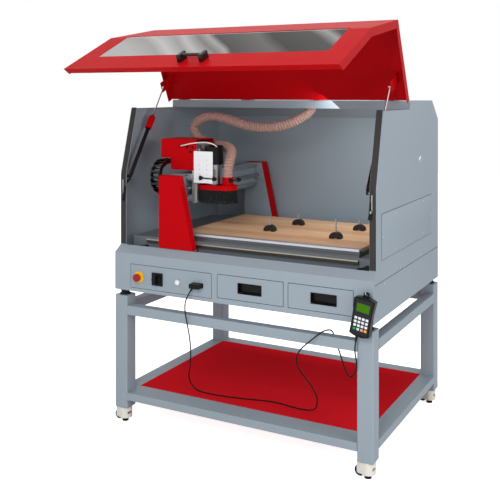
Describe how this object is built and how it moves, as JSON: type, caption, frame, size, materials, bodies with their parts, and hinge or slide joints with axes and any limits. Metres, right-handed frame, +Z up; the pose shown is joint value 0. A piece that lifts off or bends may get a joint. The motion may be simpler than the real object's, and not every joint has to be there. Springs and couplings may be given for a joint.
{
  "type": "benchtop cnc mill",
  "caption": "Enclosed gantry milling machine on a castored stand: travelling spindle over a slatted table, lift-up hood with window, two drawers, control panel and a corded pendant.",
  "frame": {"origin": "On the floor, in the middle of the machine's outline from above with its hood open.", "axes": "+X runs along the front to the right, +Y from the front to the back, +Z up."},
  "size_m": [1.5199, 1.5242, 2.1474],
  "materials": {
    "black_gloss": "gloss",
    "black_plastic": "matt",
    "black_rubber": "matt",
    "bright_steel": "polished",
    "bristle": "bristles",
    "cast_alloy": "cast and painted",
    "cord_jacket": "satin",
    "dark_grey_paint": "satin powder coat",
    "foam_seal": "matt",
    "ground_steel": "ground",
    "hose_plastic": "ribbed, translucent",
    "keypad": "film",
    "light_grey_paint": "satin powder coat",
    "mill_aluminium": "anodised",
    "red_paint": "gloss powder coat",
    "red_plastic": "gloss",
    "slat_wood": "planed",
    "smoked_pane": "clear, smoked",
    "tyre": "matt",
    "white_plastic": "gloss"
  },
  "bodies": {
    "machine": {"stand_frame": "light_grey_paint", "lower_shelf": "red_paint", "rubber_mounts": "black_rubber", "base_cabinet": "light_grey_paint", "enclosure_sides": "light_grey_paint", "enclosure_roof": "light_grey_paint", "edge_seals": "foam_seal", "machine_bed": "dark_grey_paint", "table_frame": "mill_aluminium", "table_slats": "slat_wood", "x_rails": "ground_steel", "x_drive": "black_plastic", "hold_down_clamps": "black_plastic", "control_panel": "light_grey_paint", "panel_fittings": "black_plastic", "hinge_brackets": "ground_steel", "pendant_case": "black_plastic", "pendant_face": "keypad", "pendant_hook": "ground_steel", "pendant_plug": "black_plastic", "pendant_cord": "cord_jacket", "dust_hose": "hose_plastic"},
    "x_screw": {"x_screw": "ground_steel"},
    "gantry": {"gantry_frame": "light_grey_paint", "gantry_covers": "red_paint", "gantry_guides": "ground_steel", "y_drive": "black_plastic", "cable_chain": "black_plastic"},
    "y_screw": {"y_screw": "ground_steel"},
    "carriage": {"carriage_plate": "light_grey_paint", "carriage_cover": "red_paint", "z_motor": "black_plastic"},
    "z_screw": {"z_screw": "ground_steel"},
    "spindle_slide": {"z_slide_plate": "mill_aluminium", "scale_plate": "white_plastic", "spindle_body": "ground_steel", "dust_shoe": "red_paint", "dust_brush": "bristle"},
    "spindle_shaft": {"spindle_shaft": "ground_steel"},
    "hood": {"hood_shell": "red_paint", "hood_window": "smoked_pane", "hood_handle": "black_gloss", "hood_fittings": "ground_steel"},
    "strut_cylinder_left": {"strut_cylinder_left": "black_gloss"},
    "strut_rod_left": {"strut_rod_left": "bright_steel"},
    "strut_cylinder_right": {"strut_cylinder_right": "black_gloss"},
    "strut_rod_right": {"strut_rod_right": "bright_steel"},
    "drawer_left": {"drawer_left": "light_grey_paint"},
    "drawer_right": {"drawer_right": "light_grey_paint"},
    "estop_button": {"estop_button": "red_plastic"},
    "switch_knob": {"switch_knob": "black_plastic"},
    "start_button": {"start_button": "white_plastic"},
    "castor_front_left": {"castor_front_left": "cast_alloy"},
    "castor_wheel_front_left": {"castor_wheel_front_left": "tyre"},
    "castor_front_right": {"castor_front_right": "cast_alloy"},
    "castor_wheel_front_right": {"castor_wheel_front_right": "tyre"},
    "castor_back_left": {"castor_back_left": "cast_alloy"},
    "castor_wheel_back_left": {"castor_wheel_back_left": "tyre"},
    "castor_back_right": {"castor_back_right": "cast_alloy"},
    "castor_wheel_back_right": {"castor_wheel_back_right": "tyre"}
  },
  "joints": [
    {"name": "x_travel", "type": "slide", "parent": "machine", "child": "gantry", "axis": [1, 0, 0], "range_m": [-0.1, 0.78], "deforming": ["dust_hose"]},
    {"name": "x_screw_spin", "type": "hinge", "parent": "machine", "child": "x_screw", "pos_m": [0, -0.26825, 0.935], "axis": [1, 0, 0], "range_deg": [-3601, 28081]},
    {"name": "y_travel", "type": "slide", "parent": "gantry", "child": "carriage", "axis": [0, 1, 0], "range_m": [-0.05, 0.6], "deforming": ["dust_hose", "cable_chain"]},
    {"name": "y_screw_spin", "type": "hinge", "parent": "gantry", "child": "y_screw", "pos_m": [-0.375, -0.05225, 1.267], "axis": [0, 1, 0], "range_deg": [-1801, 21601]},
    {"name": "z_travel", "type": "slide", "parent": "carriage", "child": "spindle_slide", "axis": [0, 0, -1], "range_m": [-0.012, 0.12], "deforming": ["dust_hose"]},
    {"name": "z_screw_spin", "type": "hinge", "parent": "carriage", "child": "z_screw", "pos_m": [-0.328, -0.10225, 1.4], "axis": [0, 0, 1], "range_deg": [-1081, 8641]},
    {"name": "spindle_spin", "type": "hinge", "parent": "spindle_slide", "child": "spindle_shaft", "pos_m": [-0.258, -0.10225, 1.26], "axis": [0, 0, 1], "continuous": true},
    {"name": "hood_hinge", "type": "hinge", "parent": "machine", "child": "hood", "pos_m": [0, 0.20775, 1.7455], "axis": [1, 0, 0], "range_deg": [0, 65]},
    {"name": "strut_swing_left", "type": "hinge", "parent": "machine", "child": "strut_cylinder_left", "pos_m": [-0.685, -0.29225, 1.315], "axis": [1, 0, 0], "range_deg": [-16.9, 0.3]},
    {"name": "strut_slide_left", "type": "slide", "parent": "strut_cylinder_left", "child": "strut_rod_left", "axis": [0, -0.5508, -0.8346], "range_m": [-0.0005, 0.12354]},
    {"name": "strut_swing_right", "type": "hinge", "parent": "machine", "child": "strut_cylinder_right", "pos_m": [0.685, -0.29225, 1.315], "axis": [1, 0, 0], "range_deg": [-16.9, 0.3]},
    {"name": "strut_slide_right", "type": "slide", "parent": "strut_cylinder_right", "child": "strut_rod_right", "axis": [0, -0.5508, -0.8346], "range_m": [-0.0005, 0.12354]},
    {"name": "drawer_left_slide", "type": "slide", "parent": "machine", "child": "drawer_left", "axis": [0, -1, 0], "range_m": [0, 0.38]},
    {"name": "drawer_right_slide", "type": "slide", "parent": "machine", "child": "drawer_right", "axis": [0, -1, 0], "range_m": [0, 0.38]},
    {"name": "estop_press", "type": "slide", "parent": "machine", "child": "estop_button", "axis": [0, 1, 0], "range_m": [0, 0.005], "stiffness_N_per_m": 1200, "springref_m": -0.003},
    {"name": "start_press", "type": "slide", "parent": "machine", "child": "start_button", "axis": [0, 1, 0], "range_m": [0, 0.004], "stiffness_N_per_m": 600, "springref_m": -0.002},
    {"name": "switch_turn", "type": "hinge", "parent": "machine", "child": "switch_knob", "pos_m": [-0.457, -0.35225, 0.8], "axis": [0, 1, 0], "range_deg": [0, 90]},
    {"name": "castor_swivel_front_left", "type": "hinge", "parent": "machine", "child": "castor_front_left", "pos_m": [-0.695, -0.31225, 0.076], "axis": [0, 0, 1], "continuous": true},
    {"name": "castor_roll_front_left", "type": "hinge", "parent": "castor_front_left", "child": "castor_wheel_front_left", "pos_m": [-0.733, -0.31225, 0.029], "axis": [0, -1, 0], "continuous": true},
    {"name": "castor_swivel_front_right", "type": "hinge", "parent": "machine", "child": "castor_front_right", "pos_m": [0.695, -0.31225, 0.076], "axis": [0, 0, 1], "continuous": true},
    {"name": "castor_roll_front_right", "type": "hinge", "parent": "castor_front_right", "child": "castor_wheel_front_right", "pos_m": [0.657, -0.31225, 0.029], "axis": [0, -1, 0], "continuous": true},
    {"name": "castor_swivel_back_left", "type": "hinge", "parent": "machine", "child": "castor_back_left", "pos_m": [-0.695, 0.71775, 0.076], "axis": [0, 0, 1], "continuous": true},
    {"name": "castor_roll_back_left", "type": "hinge", "parent": "castor_back_left", "child": "castor_wheel_back_left", "pos_m": [-0.733, 0.71775, 0.029], "axis": [0, -1, 0], "continuous": true},
    {"name": "castor_swivel_back_right", "type": "hinge", "parent": "machine", "child": "castor_back_right", "pos_m": [0.695, 0.71775, 0.076], "axis": [0, 0, 1], "continuous": true},
    {"name": "castor_roll_back_right", "type": "hinge", "parent": "castor_back_right", "child": "castor_wheel_back_right", "pos_m": [0.657, 0.71775, 0.029], "axis": [0, -1, 0], "continuous": true}
  ],
  "couplings": [
    {"joint": "x_screw_spin", "follows": "x_travel", "rad_per_m": 628.32},
    {"joint": "y_screw_spin", "follows": "y_travel", "rad_per_m": 628.32},
    {"joint": "z_screw_spin", "follows": "z_travel", "rad_per_m": 1256.6},
    {"joint": "strut_swing_left", "follows": "hood_hinge", "ratio": -0.25544},
    {"joint": "strut_slide_left", "follows": "hood_hinge", "m_per_rad": 0.10846},
    {"joint": "strut_swing_right", "follows": "hood_hinge", "ratio": -0.25544},
    {"joint": "strut_slide_right", "follows": "hood_hinge", "m_per_rad": 0.10846}
  ]
}
